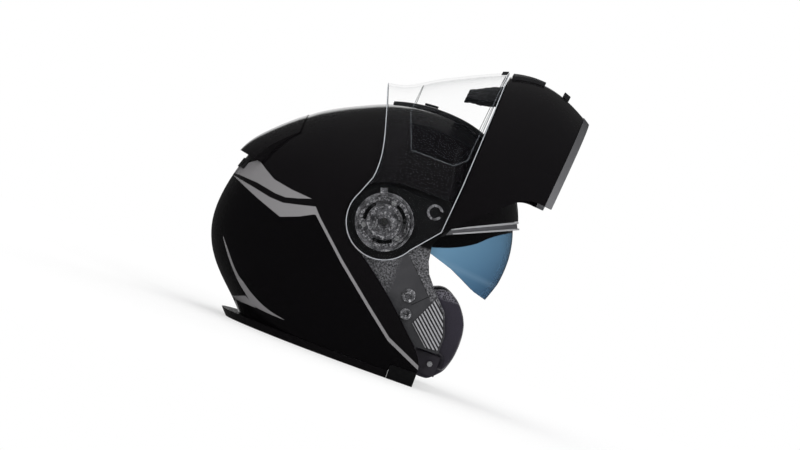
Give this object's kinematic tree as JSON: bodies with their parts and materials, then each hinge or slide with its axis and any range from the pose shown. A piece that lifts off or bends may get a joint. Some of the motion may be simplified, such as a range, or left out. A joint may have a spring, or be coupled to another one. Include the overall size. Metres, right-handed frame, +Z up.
{
  "type": "modular motorcycle helmet",
  "caption": "Black modular motorcycle helmet with a flip-up chin bar, clear visor, drop-down blue mirrored sun visor, comfort lining and chin strap.",
  "frame": {"origin": "middle of the bounding box at its base: the helmet stands on its neck trim at z 0, with the chin bar swung up", "axes": "+X towards the wearer's front, +Y towards the wearer's left, +Z up"},
  "size_m": [0.3055, 0.2472, 0.3116],
  "materials": {
    "gloss_black": "gloss",
    "grey_paint": "satin",
    "dark_plastic": "matte",
    "flank_plastic": "satin",
    "mechanism_grey": "satin",
    "rubber": "matte",
    "silver_bead": "satin",
    "steel": "polished",
    "foam": "matte",
    "comfort_cloth": "matte",
    "webbing": "matte",
    "clear_lens": "polished",
    "insert_clear": "polished",
    "blue_mirror": "polished",
    "red_button": "gloss"
  },
  "bodies": {
    "helmet": {"outer_shell": "gloss_black", "flank_step": "gloss_black", "base_trim": "dark_plastic", "corner_trims": "dark_plastic", "impact_liner": "foam", "crown_pad": "comfort_cloth", "cheek_pad_right": "comfort_cloth", "cheek_pad_left": "comfort_cloth", "neck_roll": "comfort_cloth", "brow_trim": "rubber", "brow_beads": "silver_bead", "crown_vent_cover": "dark_plastic", "rear_spoiler": "gloss_black", "rear_vent_insert": "dark_plastic", "side_plate_right": "flank_plastic", "side_plate_left": "flank_plastic", "plate_bosses": "mechanism_grey", "side_grilles": "dark_plastic", "latch_brackets": "dark_plastic", "latch_studs": "steel", "pivot_bolts": "steel", "pivot_nuts": "steel", "pivot_bushes": "steel", "shade_pins": "steel", "slider_rail": "dark_plastic", "chin_strap_left": "webbing", "chin_strap_right": "webbing", "strap_anchors": "webbing", "buckle_body": "steel", "buckle_pin": "steel", "strap_tongue": "dark_plastic"},
    "chin_bar": {"chin_bar_shell": "gloss_black", "chin_bar_liner": "foam", "bar_base_trim": "grey_paint", "nose_vent_cover": "dark_plastic", "breath_deflector": "rubber", "visor_seal": "rubber", "chin_arm_right": "dark_plastic", "chin_arm_left": "dark_plastic", "ratchet_plate_right": "mechanism_grey", "ratchet_plate_left": "mechanism_grey", "ratchet_screws": "steel", "pivot_caps": "dark_plastic", "spring_catches": "mechanism_grey", "hook_pins": "steel"},
    "visor": {"visor_lens": "clear_lens", "insert_lens": "insert_clear", "visor_cams": "dark_plastic", "visor_tab": "dark_plastic"},
    "sun_visor": {"sun_visor_lens": "blue_mirror"},
    "crown_vent": {"crown_slider": "flank_plastic"},
    "nose_vent": {"nose_slider": "dark_plastic"},
    "shade_control": {"shade_slider": "dark_plastic"},
    "bar_release": {"release_button": "red_button"},
    "hook_right": {"latch_hook_right": "steel"},
    "hook_left": {"latch_hook_left": "steel"},
    "lens_lever_right": {"quick_lever_right": "silver_bead"},
    "lens_lever_left": {"quick_lever_left": "silver_bead"},
    "strap_lever": {"buckle_lever": "red_button"}
  },
  "joints": [
    {"name": "chin_bar_hinge", "type": "hinge", "parent": "helmet", "child": "chin_bar", "pos_m": [0.003, 0, 0.1345], "axis": [0, 1, 0], "range_deg": [0, 84]},
    {"name": "visor_hinge", "type": "hinge", "parent": "chin_bar", "child": "visor", "pos_m": [0.003, 0, 0.1345], "axis": [0, 1, 0], "range_deg": [-38, 0]},
    {"name": "sun_visor_hinge", "type": "hinge", "parent": "helmet", "child": "sun_visor", "pos_m": [0.023, 0, 0.1345], "axis": [0, 1, 0], "range_deg": [-46, 0]},
    {"name": "shade_slide", "type": "slide", "parent": "helmet", "child": "shade_control", "axis": [1, 0, 0], "range_m": [-0.014, 0]},
    {"name": "crown_vent_slide", "type": "slide", "parent": "helmet", "child": "crown_vent", "axis": [0.998, 0, 0.0628], "range_m": [0, 0.008]},
    {"name": "nose_vent_slide", "type": "slide", "parent": "chin_bar", "child": "nose_vent", "axis": [-0.9535, 0, 0.3013], "range_m": [0, 0.006]},
    {"name": "release_press", "type": "slide", "parent": "chin_bar", "child": "bar_release", "axis": [-0.9945, 0, 0.1045], "range_m": [0, 0.0035], "stiffness_N_per_m": 700},
    {"name": "hook_turn_right", "type": "hinge", "parent": "chin_bar", "child": "hook_right", "pos_m": [0.1128, -0.0873, 0.2225], "axis": [0, 1, 0], "range_deg": [-12, 0]},
    {"name": "hook_turn_left", "type": "hinge", "parent": "chin_bar", "child": "hook_left", "pos_m": [0.1128, 0.0873, 0.2225], "axis": [0, 1, 0], "range_deg": [-12, 0]},
    {"name": "lens_lever_turn_right", "type": "hinge", "parent": "chin_bar", "child": "lens_lever_right", "pos_m": [0.003, 0, 0.1345], "axis": [0, 1, 0], "range_deg": [-14, 0], "stiffness_Nm_per_rad": 0.08},
    {"name": "lens_lever_turn_left", "type": "hinge", "parent": "chin_bar", "child": "lens_lever_left", "pos_m": [0.003, 0, 0.1345], "axis": [0, 1, 0], "range_deg": [-14, 0], "stiffness_Nm_per_rad": 0.08},
    {"name": "strap_lever_turn", "type": "hinge", "parent": "helmet", "child": "strap_lever", "pos_m": [0.013, -0.00905, 0.0165], "axis": [1, 0, 0], "range_deg": [0, 45], "stiffness_Nm_per_rad": 0.05}
  ],
  "couplings": [
    {"joint": "shade_slide", "follows": "sun_visor_hinge", "m_per_rad": 0.0174},
    {"joint": "hook_turn_right", "follows": "release_press", "rad_per_m": -59.8},
    {"joint": "hook_turn_left", "follows": "release_press", "rad_per_m": -59.8}
  ]
}
